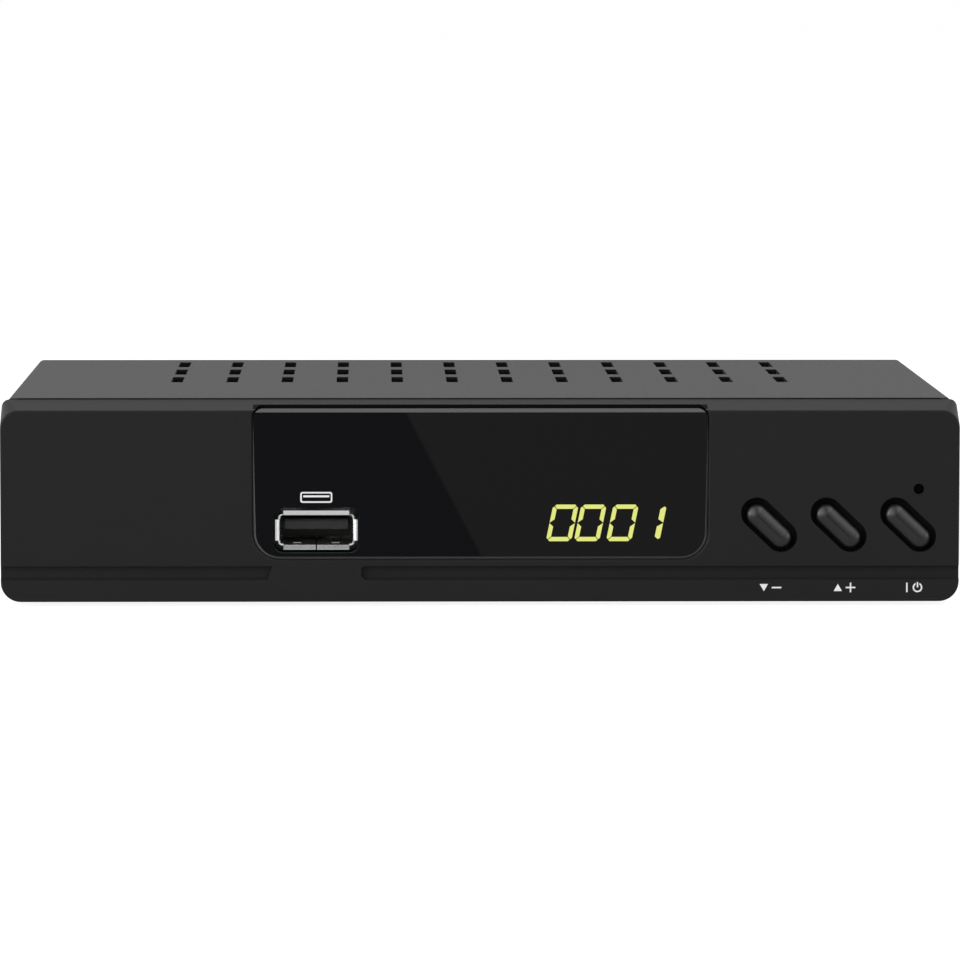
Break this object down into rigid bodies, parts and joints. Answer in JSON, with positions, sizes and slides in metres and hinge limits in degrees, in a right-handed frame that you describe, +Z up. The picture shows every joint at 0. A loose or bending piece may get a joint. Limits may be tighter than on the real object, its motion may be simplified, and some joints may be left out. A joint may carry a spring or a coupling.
{
  "type": "cable tv receiver",
  "caption": "Flat cable television receiver with a moulded front panel, dark display window, front port, slanted push keys, slotted steel cover and rear sockets.",
  "frame": {"origin": "under the middle of the receiver's overall box, on the surface that it stands on", "axes": "+X to the right seen from the front, +Y from the front panel to the rear sockets, +Z up"},
  "size_m": [0.1688, 0.1156, 0.0362],
  "materials": {
    "panel_plastic": "satin moulded, dark grey-black",
    "window_acrylic": "polished, near black",
    "key_plastic": "satin gloss black",
    "cover_paint": "fine textured dark grey paint",
    "chassis_paint": "satin black paint",
    "plated_steel": "bright plated",
    "tinned_steel": "tinned sheet",
    "contact_metal": "gold-washed contacts",
    "insulator": "matt black",
    "board_laminate": "green solder mask",
    "chip_epoxy": "matt moulded",
    "sink_aluminium": "extruded",
    "capacitor_sleeve": "shrink sleeve",
    "coil_ferrite": "ferrite grey",
    "display_case": "dark moulded",
    "lamp_plastic": "tinted lamp body, unlit",
    "foot_rubber": "matt",
    "screw_steel": "blackened steel"
  },
  "bodies": {
    "casing": {"front_panel": "panel_plastic", "display_window": "window_acrylic", "channel_down_switch": "chip_epoxy", "channel_up_switch": "chip_epoxy", "power_switch": "chip_epoxy", "front_board": "board_laminate", "digit_display": "display_case", "remote_sensor": "display_case", "standby_lamp": "lamp_plastic", "lamp_guide": "display_case", "front_port_shell": "plated_steel", "front_port_tongue": "insulator", "top_cover": "cover_paint", "chassis": "chassis_paint", "foot_front_left": "foot_rubber", "foot_front_right": "foot_rubber", "foot_rear_left": "foot_rubber", "foot_rear_right": "foot_rubber", "main_board": "board_laminate", "main_chip": "chip_epoxy", "heat_sink": "sink_aluminium", "memory_chip": "chip_epoxy", "flash_chip": "chip_epoxy", "capacitor_1": "capacitor_sleeve", "capacitor_2": "capacitor_sleeve", "capacitor_3": "capacitor_sleeve", "power_coil": "coil_ferrite", "clock_crystal": "tinned_steel", "board_link": "insulator", "tuner_can": "tinned_steel", "cable_in_socket": "plated_steel", "cable_in_contact": "contact_metal", "cable_out_socket": "plated_steel", "cable_out_pin": "contact_metal", "av_socket": "insulator", "av_socket_shield": "plated_steel", "video_socket_shell": "plated_steel", "video_socket_tongue": "insulator", "audio_socket_body": "insulator", "audio_socket_ring": "plated_steel", "power_jack_body": "insulator", "power_jack_pin": "contact_metal", "board_screw_front_left": "screw_steel", "board_screw_front_right": "screw_steel", "board_screw_rear_left": "screw_steel", "board_screw_rear_right": "screw_steel", "panel_screw_left": "screw_steel", "panel_screw_right": "screw_steel", "cover_screw_front_left": "screw_steel", "cover_screw_rear_left": "screw_steel", "cover_screw_front_right": "screw_steel", "cover_screw_rear_right": "screw_steel"},
    "channel_down_button": {"channel_down_key": "key_plastic", "channel_down_plunger": "insulator"},
    "channel_up_button": {"channel_up_key": "key_plastic", "channel_up_plunger": "insulator"},
    "power_button": {"power_key": "key_plastic", "power_plunger": "insulator"}
  },
  "joints": [
    {"name": "channel_down_press", "type": "slide", "parent": "casing", "child": "channel_down_button", "axis": [0, 1, 0], "range_m": [0, 0.0005], "stiffness_N_per_m": 3000},
    {"name": "channel_up_press", "type": "slide", "parent": "casing", "child": "channel_up_button", "axis": [0, 1, 0], "range_m": [0, 0.0005], "stiffness_N_per_m": 3000},
    {"name": "power_press", "type": "slide", "parent": "casing", "child": "power_button", "axis": [0, 1, 0], "range_m": [0, 0.0005], "stiffness_N_per_m": 3000}
  ]
}
